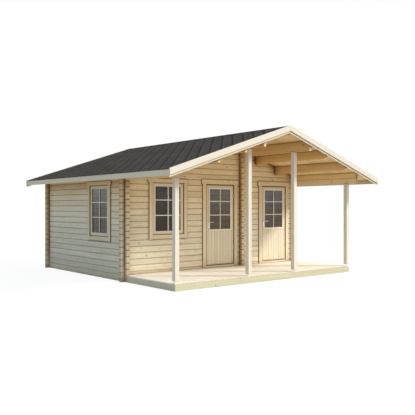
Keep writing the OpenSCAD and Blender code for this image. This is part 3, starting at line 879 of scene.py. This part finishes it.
for layer in layers:
    trimmed(layer, (0, felt_low.y, 0), (0, -1, 0))
    trimmed(layer, (0, felt_high.y, 0), (0, 1, 0))


def make_granules():
    """Mineral granules pressed into bitumen: fine mixed grains, blotches, and a tone for each
    shingle."""
    group, given, result = new_group("granules",
        {"Place": "Vector", "Lot": "Float", "Shade": "Float"}, {"Color": "Color", "Height": "Float"})
    grains = put(group, "TexVoronoi", {"Vector": given["Place"], "Scale": GRANULE_SCALE}).outputs
    mixed = put(group, "SeparateColor", {0: grains["Color"]}).outputs[0]
    patches = noise(group, given["Place"], scale=PATCH_SCALE, detail=4.0)
    share = calc(group, "MULTIPLY_ADD", mixed, GRANULE_SHARE, product(group, patches, PATCH_SHARE))
    share = around(group, share, given["Lot"], SHINGLE_SPREAD)
    share = put(group, "Clamp", {0: share}).outputs[0]
    colour = blend(group, share, FELT_DARK, FELT_LIGHT)
    feed(group, result, {"Color": blend(group, given["Shade"], colour, SLOT_TONE, "MULTIPLY"),
        "Height": grains["Distance"]})
    return group


GRANULES = make_granules()


def felted(tree, shader, shade=0.0):
    """Covers the shader with granules, darker by a shade."""
    granules = put(tree, "Group", {"Place": object_place(tree), "Lot": stored(tree, "lot"), "Shade": shade},
        node_tree=GRANULES).outputs
    feed(tree, shader, {"Base Color": granules["Color"], "Roughness": 0.9, "Specular IOR Level": 0.1,
        "Normal": relief(tree, granules["Height"], GRANULE_STRENGTH, GRANULE_RELIEF)})


def shingle_material():
    """Granules with a dark band in the slots, beside the slanted edges of the tabs."""
    material, tree, shader = new_material("roofing_felt")
    x, y = xyz(tree, object_place(tree))[:2]
    up = calc(tree, "DIVIDE", calc(tree, "SUBTRACT", felt_high.x, calc(tree, "ABSOLUTE", x)),
        math.cos(ROOF_ANGLE) * EXPOSURE)
    aside = product(tree, calc(tree, "FLOORED_MODULO", calc(tree, "FLOOR", up), 2.0), 0.5)
    along_eave = calc(tree, "SUBTRACT", product(tree, y, calc(tree, "SIGN", x)), TAB_START)
    across = calc(tree, "SUBTRACT", calc(tree, "DIVIDE", along_eave, TAB_PITCH), aside)
    from_middle = calc(tree, "ABSOLUTE", calc(tree, "SUBTRACT",
        calc(tree, "FRACT", calc(tree, "ADD", across, 0.5)), 0.5))
    flat = TAB_FLAT / TAB_PITCH / 2
    edge = calc(tree, "MULTIPLY_ADD", calc(tree, "FRACT", up), 0.5 - flat, flat)
    beyond = calc(tree, "SUBTRACT", from_middle, edge)
    in_slot = calc(tree, "GREATER_THAN", beyond, 0.0)
    felted(tree, shader, product(tree, in_slot, soft_step(tree, beyond, *SLOT_FADE)))
    return material


assembled("roof_shingles", layers, shingle_material(), stands_for=["roofing"])

# Ridge caps. Single shingles of the same felt are bent over the ridge. They overlap along it, and
# each is nailed where the next one covers it.
CAP_SHOWN = 0.15
CAP_T = 0.0022
cap_low, cap_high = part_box("ridge_cap")
cap_seat = boards_top + ROOFING_T / math.cos(ROOF_ANGLE) + SEAT_GAP
cap_count = math.ceil((cap_high.y - cap_low.y) / CAP_SHOWN)
cap = block((-cap_high.x, cap_low.y, cap_seat), (cap_high.x, cap_low.y + 2 * CAP_SHOWN, cap_seat + CAP_T))
sliced(cap, (0, 0, 0), (1, 0, 0))
for vertex in cap.data.vertices:
    vertex.co.z -= abs(vertex.co.x) * math.tan(ROOF_ANGLE)
    vertex.co.z += CAP_T if vertex.co.y < cap_low.y + CAP_SHOWN else -CAP_T
repeated(cap, cap_count, (0, CAP_SHOWN, 0))
trimmed(cap, (0, cap_high.y, 0), (0, 1, 0))
ridge_felt, cap_tree, cap_shader = new_material("ridge_felt")
felted(cap_tree, cap_shader)
assembled("ridge_cap_shingles", [cap], ridge_felt, stands_for=["ridge_cap"])

# Edge boards. Pale planed boards close the roof's edges: a fascia under each eave, and at each
# gable an inner barge board with a narrower cover board nailed on in front of it.
edge_wood = timber("edge_wood", light=(0.775, 0.72, 0.635, 1), dark=(0.70, 0.635, 0.53, 1), knots=0.0,
    spread=0.05, aging=0.5)
# The eave fascias and inner barge boards, which stand in shade, get a darker, warmer copy of the edge pine,
# which is painted shade.
fascia_wood = timber("fascia_wood", light=(0.752, 0.677, 0.546, 1), dark=(0.679, 0.597, 0.456, 1), knots=0.0,
    spread=0.05, aging=0.5)
dressed("eave_fascias", "eave_fascia_boards", fascia_wood)
dressed("barge_boards", "inner_barge_boards", fascia_wood)
dressed("barge_covers", "barge_cover_boards", edge_wood)

# Windows. Each has a frame in the wall's thickness, a glued sash that closes flush with the
# outer face, and planed trim boards nailed on inside and outside. Bars on the outer face of the
# glass divide it into six panes.
SASH_GAP = Vector((0.006, 0.006, 0.006))
BAR_W = 0.021
BAR_SHARES = (0.354, 0.693)
BAR_RISE_SHARE = 0.8
BEAD_W = 0.016
BEAD_UNDER = 0.010
BEAD_PROUD = 0.003
STRIP_EDGE = 0.0025
SHOULDER_PLAY = 0.001
PANE_HEIGHTS = (1.2, 2.0)
WAVE_SCALE = 2.5
WAVE_STRENGTH = 0.05
WAVE_RELIEF = 0.01
SUN_THROUGH = (0.98, 0.98, 0.98, 1)
frame_wood = timber("frame_wood", light=(0.88, 0.79, 0.62, 1), dark=(0.76, 0.63, 0.44, 1), knots=0.2,
    spread=0.08, aging=0.5, honey=0.8)
trim_wood = timber("trim_wood", light=(0.87, 0.76, 0.57, 1), dark=(0.72, 0.58, 0.38, 1), knots=0.4,
    spread=0.1, honey=1.0)
bar_wood = timber("bar_wood", light=(0.92, 0.87, 0.74, 1), dark=(0.83, 0.75, 0.60, 1), knots=0.0,
    spread=0.05, aging=0.3)
# The front window's bars, in the veranda roof's shade, get a paler copy of the bar pine, which is painted
# light.
pale_bar_wood = timber("pale_bar_wood", light=(0.97, 0.95, 0.89, 1), dark=(0.93, 0.88, 0.78, 1), knots=0.0,
    spread=0.05, aging=0.0)


def glass_material(name, low_painted_tint, high_painted_tint, gloss):
    """Clear glazing with slight waves, which lets the sun into the rooms. Its tint changes with height as
    painted light: warm and dark towards its foot, painted shade of the room behind, and pale and cool high
    up, a painted reflection of the sky."""
    material, tree, shader = new_material(name)
    place = object_place(tree)
    waves = noise(tree, place, scale=WAVE_SCALE)
    up = soft_step(tree, xyz(tree, place)[2], *PANE_HEIGHTS)
    feed(tree, shader, {"Base Color": blend(tree, up, low_painted_tint, high_painted_tint), "Specular Tint": gloss,
        "Transmission Weight": 1, "Roughness": 0.02, "IOR": 1.5,
        "Normal": relief(tree, waves, WAVE_STRENGTH, WAVE_RELIEF)})
    clear = put(tree, "BsdfTransparent", {"Color": SUN_THROUGH}).outputs[0]
    for_sun = put(tree, "LightPath").outputs["Is Shadow Ray"]
    shown = put(tree, "MixShader", {0: for_sun, 1: shader.outputs[0], 2: clear}).outputs[0]
    feed(tree, tree.nodes["Material Output"], {"Surface": shown})
    return material


def glued_ring(opening, wide):
    """Splits a ring's faces into upright stiles and the rails between them; wide is the axis across
    the opening."""
    low, high = opening

    def parts(group):
        upright = Vector((0, 0, 1))
        level = Vector((1, 0, 0)) if wide == 0 else Vector((0, 1, 0))
        zones = {}
        for face in group:
            middle = face.calc_center_median()
            if low[wide] - SHOULDER_PLAY < middle[wide] < high[wide] + SHOULDER_PLAY:
                zone = ("rail", middle.z > (low.z + high.z) / 2)
            else:
                zone = ("stile", middle[wide] > (low[wide] + high[wide]) / 2)
            zones.setdefault(zone, []).append(face)
        return [(faces, level if zone[0] == "rail" else upright) for zone, faces in sorted(zones.items())]
    return parts


def glued(node, name, opening, wide, material):
    """A CAD ring cut at the shoulders of its rails, with eased edges and the grain of each of its
    parts."""
    piece = eased(copy_of(node, name), BOARD_EDGE)
    normal = [0, 0, 0]
    normal[wide] = 1
    for corner in opening:
        sliced(piece, corner, normal)
    mark_grain(piece, glued_ring(opening, wide))
    return finish_piece(piece, material, stands_for=[node])


def glazing(name, glass, faces, bar_w, bead_w, bead_out, body, wood):
    """Beads around a pane on both of its faces, and the bars across its outer, lower one.
    faces are the two planes that the beads reach to, across the pane's thickness."""
    low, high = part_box(glass)
    thin = 1 if high.y - low.y < high.x - low.x else 0
    wide = 1 - thin
    middle = (low[wide] + high[wide]) / 2
    inner = bead_w - bead_out
    outer0, outer1 = low[wide] - bead_out, high[wide] + bead_out
    inner0, inner1 = low[wide] + inner, high[wide] - inner
    pieces = []

    def strip(wide0, wide1, z0, z1, deep0, deep1):
        near, far = [0, 0, z0], [0, 0, z1]
        near[wide], far[wide] = wide0, wide1
        near[thin], far[thin] = min(deep0, deep1), max(deep0, deep1)
        pieces.append(eased(block(near, far), STRIP_EDGE))
    for pane_face, plane in ((low[thin], faces[0]), (high[thin], faces[1])):
        for z0, z1 in ((low.z - bead_out, low.z + inner), (high.z - inner, high.z + bead_out)):
            strip(outer0, outer1, z0, z1, pane_face, plane)
        for wide0, wide1 in ((outer0, inner0), (inner1, outer1)):
            strip(wide0, wide1, low.z + inner, high.z - inner, pane_face, plane)
    bar_plane = low[thin] + (faces[0] - low[thin]) * BAR_RISE_SHARE
    strip(middle - bar_w / 2, middle + bar_w / 2, low.z + inner, high.z - inner, low[thin], bar_plane)
    for share in BAR_SHARES:
        z = low.z + share * (high.z - low.z)
        for wide0, wide1 in ((inner0, middle - bar_w / 2), (middle + bar_w / 2, inner1)):
            strip(wide0, wide1, z - bar_w / 2, z + bar_w / 2, low[thin], bar_plane)
    return assembled(name, pieces, wood, body)


# Each glazing gets its own copy, with its own painted tints and reflection tint, to match how it is lit.
front_glass = glass_material("window_glass", low_painted_tint=(0.60, 0.49, 0.28, 1), high_painted_tint=(0.80, 0.865, 1.0, 1),
    gloss=(0.64, 0.62, 0.56, 1))
left_glass = glass_material("side_window_glass", low_painted_tint=(0.26, 0.21, 0.11, 1),
    high_painted_tint=(0.90, 1.0, 1.0, 1), gloss=(0.44, 0.50, 0.50, 1))
for side, wide, wood, glass in (("front", 0, pale_bar_wood, front_glass), ("left", 1, bar_wood, left_glass)):
    window = side + "_window_"
    sash_low, sash_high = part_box(window + "sash")
    frame_opening = (sash_low - SASH_GAP, sash_high + SASH_GAP)
    glued(window + "frame", window + "frame_timber", frame_opening, wide, frame_wood)
    glued(window + "sash", window + "sash_timber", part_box(window + "glass"), wide, frame_wood)
    dressed(window + "trim", window + "trim_boards", trim_wood)
    planes = (sash_low[1 - wide] - BEAD_PROUD, sash_high[1 - wide] + BEAD_PROUD)
    glazing(window + "bars", window + "glass", planes, BAR_W, BEAD_W, BEAD_UNDER, "cabin", wood)
    surfaced(glass, window + "glass")

# Doors. A leaf is a glued frame with tongued and grooved boards below the glass, planted beads
# around it and bars across it, hung on two steel hinges and closed by a lever handle.
DOOR_BOARDS = 8
DOOR_BOARD_T = 0.0115
DOOR_BOARD_GAP = 0.0004
DOOR_BOARD_EDGE = 0.005
LEAF_MARGIN = 0.062
LEAF_FOOT = 0.03
UNDER_BEAD = 0.004
PANEL_FIT = 0.0002
PANEL_PAST = 0.01
DOOR_BEAD = 0.040
DOOR_BEAD_UNDER = 0.032
DOOR_BEAD_PROUD = 0.006
DOOR_BAR_W = 0.020
# Dark strips round the leaf's edges are painted shade for the shadow line around the leaf.
SHADOW_STRIP_W = 0.014
HINGE_SHADOW_STRIP_W = 0.006
SHADOW_STRIP_T = 0.0015
SHADOW_STRIP_INSET = 0.001
door_wood = timber("door_wood", light=(0.92, 0.84, 0.67, 1), dark=(0.80, 0.69, 0.50, 1), knots=0.15,
    spread=0.08, honey=0.8)
door_board_wood = timber("door_board_wood", light=(0.865, 0.78, 0.63, 1), dark=(0.75, 0.64, 0.47, 1),
    knots=0.15, spread=0.08, aging=0.4, honey=0.8)
# The strips' dark pine is painted shade.
seal_wood = timber("seal_wood", light=(0.22, 0.11, 0.045, 1), dark=(0.15, 0.07, 0.025, 1), knots=0.0,
    aging=0.3)
handle_steel = metal("handle_steel", (0.70, 0.68, 0.64, 1), 0.26)


def edge_strips(name, low, high, body):
    """Thin dark strips around the edges of both faces of a leaf, which are painted shade for the shadow line
    around it.
    """
    x0, x1 = low.x + SHADOW_STRIP_INSET, high.x - SHADOW_STRIP_INSET
    z0, z1 = low.z + SHADOW_STRIP_INSET, high.z - SHADOW_STRIP_INSET
    strips = []
    for y0, y1 in ((low.y - SHADOW_STRIP_T, low.y), (high.y, high.y + SHADOW_STRIP_T)):
        for xa, xb in ((x0, x0 + SHADOW_STRIP_W), (x1 - HINGE_SHADOW_STRIP_W, x1)):
            strips.append(block((xa, y0, z0), (xb, y1, z1)))
        for za, zb in ((z0, z0 + SHADOW_STRIP_W), (z1 - SHADOW_STRIP_W, z1)):
            strips.append(block((x0 + SHADOW_STRIP_W, y0, za), (x1 - HINGE_SHADOW_STRIP_W, y1, zb)))
    assembled(name, strips, seal_wood, body)


def door_leaf(side, body):
    """The leaf's frame with its board panels on both faces."""
    node = side + "_door_leaf"
    low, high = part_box(node)
    glass_low, glass_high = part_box(side + "_door_glass")
    top = glass_low.z - DOOR_BEAD_UNDER + UNDER_BEAD
    x0, x1 = low.x + LEAF_MARGIN, high.x - LEAF_MARGIN
    z0 = low.z + LEAF_FOOT
    core = cut(copy_of(node, side + "_door_frame_leaf"), [
        block((x0, low.y - PANEL_PAST, z0), (x1, low.y + DOOR_BOARD_T + PANEL_FIT, top)),
        block((x0, high.y - DOOR_BOARD_T - PANEL_FIT, z0), (x1, high.y + PANEL_PAST, top))])
    eased(core, BOARD_EDGE)
    step = (x1 - x0) / DOOR_BOARDS
    fields = []
    for y in (low.y, high.y - DOOR_BOARD_T):
        board = block((x0 + DOOR_BOARD_GAP, y, z0), (x0 + step - DOOR_BOARD_GAP, y + DOOR_BOARD_T, top))
        fields.append(repeated(eased(board, DOOR_BOARD_EDGE, 1), DOOR_BOARDS, (step, 0, 0)))
    mark_grain(core, glued_ring((glass_low, glass_high), 0))
    finish_piece(core, door_wood, body, [node])
    assembled(side + "_door_boards", fields, door_board_wood, body)
    edge_strips(side + "_door_seals", low, high, body)


# The levers turn in collars on long steel back plates, which have a key hole and two screws.
PLATE_W = 0.038
PLATE_T = 0.004
PLATE_EDGE = 0.0012
LEVER_DOWN = 0.045
LEVER_R = 0.0085
LEVER_NECK = 0.01
LEVER_BEND = 0.022
BEND_EASE = 0.45
LEVER_TIP_IN = 0.002
TIP_BACK = 0.004
LEVER_SMOOTH = math.radians(35)
KEY_R = 0.0045
KEY_SIDES = 20
KEY_DOWN = 0.072
KEY_SLOT_HALF = 0.0022
KEY_SLOT_DOWN = 0.088
KEY_CUT_BEHIND = 0.006
KEY_CUT_BEFORE = 0.014
PLATE_SCREW_R = 0.0042
PLATE_SCREW_T = 0.003
PLATE_SCREW_IN = 0.012
PLATE_SCREW_OUT = 0.0045
PLATE_SCREW_EDGE = 0.0008
PLATE_SCREW_SIDES = 16
COLLAR_R = 0.013
COLLAR_T = 0.010
COLLAR_OUT = 0.008
COLLAR_EDGE = 0.002
COLLAR_SIDES = 32
ACROSS_LEAF = (math.pi / 2, 0, 0)


def lever_bar(x, z, face, out, reach, tip_x):
    """A lever bent from round bar: out from the face, round a bend and along the leaf to its tip."""
    line = bpy.data.curves.new("lever", "CURVE")
    line.dimensions = "3D"
    line.bevel_depth = LEVER_R
    line.bevel_resolution = 6
    line.resolution_u = 10
    line.use_fill_caps = True
    far_y = face + out * (reach - LEVER_R)
    # Each point of the path, and the handle ahead of it.
    path = [((x, face, z), (x, face + out * LEVER_NECK, z)),
        ((x, far_y - out * LEVER_BEND, z), (x, far_y - out * LEVER_BEND * BEND_EASE, z)),
        ((x + LEVER_BEND, far_y, z), (x + LEVER_BEND * 1.5, far_y, z)),
        ((tip_x, far_y - out * TIP_BACK, z), (tip_x + LEVER_NECK, far_y - out * TIP_BACK * 1.5, z))]
    spline = line.splines.new("BEZIER")
    spline.bezier_points.add(len(path) - 1)
    for point, (at, ahead) in zip(spline.bezier_points, path):
        point.co = at
        point.handle_right = ahead
        point.handle_left = Vector(at) * 2 - Vector(ahead)
    lever = bpy.data.objects.new("lever", line)
    bpy.context.scene.collection.objects.link(lever)
    pick(lever)
    bpy.ops.object.convert(target="MESH")
    return bpy.context.object


def lever_handle(side, body):
    """Back plates with key holes, and levers, on both faces of the leaf."""
    node = side + "_door_handle"
    low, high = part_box(node)
    leaf_low, leaf_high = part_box(side + "_door_leaf")
    x = low.x + PLATE_W / 2
    lever_z = high.z - LEVER_DOWN
    pieces = []
    for face, out, reach in ((leaf_low.y, -1, leaf_low.y - low.y), (leaf_high.y, 1, high.y - leaf_high.y)):
        y0, y1 = sorted((face, face + out * PLATE_T))
        plate = block((low.x, y0, low.z), (low.x + PLATE_W, y1, high.z))
        hole = rod((x, face + out * PLATE_T, lever_z - KEY_DOWN), KEY_R, KEY_CUT_BEHIND + KEY_CUT_BEFORE,
            KEY_SIDES, ACROSS_LEAF)
        slot_y0, slot_y1 = sorted((face - out * KEY_CUT_BEHIND, face + out * KEY_CUT_BEFORE))
        slot = block((x - KEY_SLOT_HALF, slot_y0, lever_z - KEY_SLOT_DOWN),
            (x + KEY_SLOT_HALF, slot_y1, lever_z - KEY_DOWN))
        pieces.append(eased(cut(plate, [hole, slot]), PLATE_EDGE))
        for z in (high.z - PLATE_SCREW_IN, low.z + PLATE_SCREW_IN):
            screw = rod((x, face + out * PLATE_SCREW_OUT, z), PLATE_SCREW_R, PLATE_SCREW_T,
                PLATE_SCREW_SIDES, ACROSS_LEAF)
            pieces.append(eased(screw, PLATE_SCREW_EDGE))
        collar = rod((x, face + out * COLLAR_OUT, lever_z), COLLAR_R, COLLAR_T, COLLAR_SIDES, ACROSS_LEAF)
        pieces.append(eased(collar, COLLAR_EDGE))
        pieces.append(lever_bar(x, lever_z, face, out, reach, high.x - LEVER_TIP_IN))
    handle = joined(side + "_door_lever", pieces)
    bpy.ops.object.shade_smooth_by_angle(angle=LEVER_SMOOTH)
    return finish_piece(handle, handle_steel, body, [node])


door_glass = glass_material("door_glass", low_painted_tint=(0.72, 0.50, 0.185, 1), high_painted_tint=(1.0, 1.0, 1.0, 1),
    gloss=(1.0, 1.0, 1.0, 1))
for side in ("left", "right"):
    body = side + "_door"
    dressed(side + "_door_frame", side + "_door_frame_timber", frame_wood)
    dressed(side + "_door_trim", side + "_door_trim_boards", trim_wood)
    door_leaf(side, body)
    leaf_low, leaf_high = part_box(side + "_door_leaf")
    planes = (leaf_low.y - DOOR_BEAD_PROUD, leaf_high.y + DOOR_BEAD_PROUD)
    glazing(side + "_door_bars", side + "_door_glass", planes, DOOR_BAR_W, DOOR_BEAD, DOOR_BEAD_UNDER, body,
        bar_wood)
    lever_handle(side, body)
    surfaced(door_glass, side + "_door_glass")
    surfaced(handle_steel, side + "_door_hinges")
surfaced(handle_steel, "hinge_pins")

# Floor, light and camera. A plain pale floor under soft light: a wide sun from the front right and
# a sky that fills the shade. The camera stands at eye height before the left front corner.
SUN_POWER = 3.0
SUN_COLOUR = (1.0, 0.96, 0.89)
SUN_WIDTH = math.radians(9)
TOWARDS_SUN = Vector((0.623, -0.518, 0.588))
SKY_LEFT = (0.38, 0.48, 0.56, 1)
SKY_RIGHT = (0.92, 0.89, 0.80, 1)
SKY_ACROSS = (0.85, -0.53, 0)
SKY_FADE = (-0.6, 0.6)
BACKDROP = (1, 1, 1, 1)
FLOOR_SIZE = 160
FLOOR_UNDER = 0.001
FLOOR_GREY = (0.50, 0.50, 0.50, 1)
FLOOR_SHADE = (0.14, 0.14, 0.14, 1)
FLOOR_GLOW = 0.90
EYE = (-9.1167, -11.584, 1.608)
EYE_TURN = math.radians(-39.334)
EYE_LEVEL = math.radians(90)
LENS_MM = 50.45
SENSOR_MM = 36
LENS_SHIFT = -0.00277
SEEN_TO = 300


def seen_directly(tree):
    """1 for rays from the camera, and for those that mirror or pass through a surface."""
    path = put(tree, "LightPath").outputs
    seen = calc(tree, "MAXIMUM", path["Is Camera Ray"], path["Is Glossy Ray"])
    return calc(tree, "MAXIMUM", seen, path["Is Transmission Ray"])


bpy.ops.object.select_all(action="DESELECT")
bpy.ops.mesh.primitive_plane_add(size=FLOOR_SIZE, location=(0, 0, -FLOOR_UNDER))
floor = bpy.context.object
floor.name = "studio_floor"
bpy.ops.object.transform_apply(location=True, rotation=True, scale=True)
floor_paint, tree, unused_shader = new_material("floor_paint")
tree.nodes.remove(unused_shader)
matt = put(tree, "BsdfDiffuse", {"Color": FLOOR_GREY}).outputs[0]
glow = put(tree, "Emission", {"Color": BACKDROP, "Strength": FLOOR_GLOW}).outputs[0]
faint = put(tree, "BsdfDiffuse", {"Color": FLOOR_SHADE}).outputs[0]
pale = put(tree, "AddShader", {0: glow, 1: faint}).outputs[0]
shown = put(tree, "MixShader", {0: seen_directly(tree), 1: matt, 2: pale}).outputs[0]
feed(tree, tree.nodes["Material Output"], {"Surface": shown})
floor.data.materials.append(floor_paint)

world = bpy.data.worlds.new("studio")
bpy.context.scene.world = world
world.use_nodes = True
tree = world.node_tree
tree.nodes.clear()
across_sky = put(tree, "VectorMath", {0: put(tree, "TexCoord").outputs["Generated"], 1: SKY_ACROSS},
    operation="DOT_PRODUCT").outputs["Value"]
sky_colour = blend(tree, soft_step(tree, across_sky, *SKY_FADE), SKY_LEFT, SKY_RIGHT)
fill = put(tree, "Background", {"Color": sky_colour, "Strength": 1.0}).outputs[0]
white = put(tree, "Background", {"Color": BACKDROP, "Strength": 1.0}).outputs[0]
sky = put(tree, "MixShader", {0: seen_directly(tree), 1: fill, 2: white}).outputs[0]
put(tree, "OutputWorld", {"Surface": sky})

sun_light = bpy.data.lights.new("sun", "SUN")
sun_light.energy = SUN_POWER
sun_light.color = SUN_COLOUR
sun_light.angle = SUN_WIDTH
sun = bpy.data.objects.new("sun", sun_light)
bpy.context.scene.collection.objects.link(sun)
sun.rotation_euler = TOWARDS_SUN.to_track_quat("Z", "Y").to_euler()

lens = bpy.data.cameras.new("camera")
lens.lens = LENS_MM
lens.sensor_width = SENSOR_MM
lens.shift_y = LENS_SHIFT
lens.clip_end = SEEN_TO
camera = bpy.data.objects.new("camera", lens)
bpy.context.scene.collection.objects.link(camera)
camera.location = EYE
camera.rotation_euler = (EYE_LEVEL, 0, EYE_TURN)
bpy.context.scene.camera = camera
bpy.context.scene.view_settings.view_transform = "Standard"
